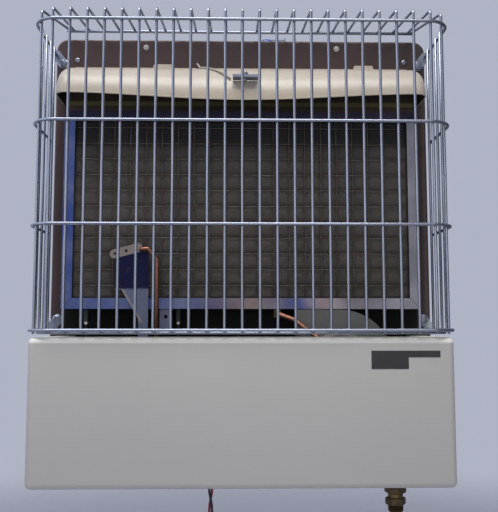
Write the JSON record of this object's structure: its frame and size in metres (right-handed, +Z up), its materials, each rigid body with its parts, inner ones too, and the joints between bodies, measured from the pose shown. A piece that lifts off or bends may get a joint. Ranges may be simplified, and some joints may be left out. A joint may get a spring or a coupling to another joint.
{
  "type": "wall mounted gas heater",
  "caption": "Flameless gas space heater that hangs on a wall: quilted catalyst pad behind a wire guard, deflector hood above, control housing with gas inlet and leads below.",
  "frame": {"origin": "on the wall plane, at the middle of the back pan's top inturned lip, where the heater hangs", "axes": "+X to the heater's right as seen from the room, +Y into the wall, +Z up"},
  "size_m": [0.5238, 0.146, 0.7435],
  "materials": {
    "brown_paint": "semi-gloss dark brown stove paint",
    "cream_paint": "satin cream paint",
    "grey_paint": "satin light warm grey paint",
    "zinc": "bright zinc plated wire and hardware",
    "bare_plate": "galvanised sheet, heat tinted with small rust spots",
    "catalyst": "matte brownish grey ceramic fibre cloth, quilted",
    "screen_wire": "thin darkened wire screen",
    "wool": "white ceramic wool",
    "copper": "drawn copper tube, slightly browned",
    "brass": "dull dark brass",
    "cast_grey": "grey cast body, matte",
    "ceramic": "pale unglazed ceramic and glass fibre sleeve",
    "red_insulation": "dark red wire insulation",
    "black_insulation": "black wire insulation",
    "black_rubber": "matte black rubber",
    "blue_nylon": "blue nylon",
    "red_nylon": "red nylon"
  },
  "bodies": {
    "heater": {"back_pan": "brown_paint", "canopy_hood": "cream_paint", "housing_cover": "grey_paint", "hanger_rail": "zinc", "wall_hook": "zinc", "pan_screw_left": "zinc", "pan_screw_right": "zinc", "guard_front": "zinc", "guard_top": "zinc", "guard_side_left": "zinc", "guard_side_right": "zinc", "guard_tab_lower_left": "zinc", "guard_tab_upper_left": "zinc", "guard_tab_lower_right": "zinc", "guard_tab_upper_right": "zinc", "guard_bolt_lower_left": "zinc", "guard_bolt_upper_left": "zinc", "guard_bolt_lower_right": "zinc", "guard_bolt_upper_right": "zinc", "sensor_clip": "zinc", "clip_screw": "zinc", "burner_tray": "bare_plate", "gas_diffuser": "bare_plate", "start_element": "bare_plate", "frame_rail_bottom": "bare_plate", "frame_rail_top": "bare_plate", "frame_rail_left": "bare_plate", "frame_rail_right": "bare_plate", "thermocouple_bracket": "bare_plate", "tube_tab": "bare_plate", "chassis_shelf": "bare_plate", "catalyst_pad": "catalyst", "pad_screen": "screen_wire", "wool_layer": "wool", "thermocouple_tube": "copper", "supply_tube": "copper", "thermocouple_lead": "copper", "valve_body": "brass", "inlet_fitting": "brass", "outlet_elbow": "brass", "riser_pipe": "brass", "jet_holder": "brass", "gas_regulator": "cast_grey", "rail_rivet_left": "ceramic", "rail_rivet_right": "ceramic", "element_terminal_left": "ceramic", "element_terminal_right": "ceramic", "sensor_sleeve": "ceramic", "inner_lead_red": "red_insulation", "lead_red": "red_insulation", "inner_lead_black": "black_insulation", "lead_black": "black_insulation", "splice_black": "black_insulation", "lead_grommet": "black_rubber", "hook_cap": "blue_nylon", "splice_red": "red_nylon"},
    "button": {"valve_button": "red_nylon", "button_spring": "zinc"}
  },
  "joints": [
    {"name": "button_press", "type": "slide", "parent": "heater", "child": "button", "axis": [0, 0, 1], "range_m": [0, 0.005], "stiffness_N_per_m": 900, "springref_m": -0.003, "deforming": ["button_spring"]}
  ]
}
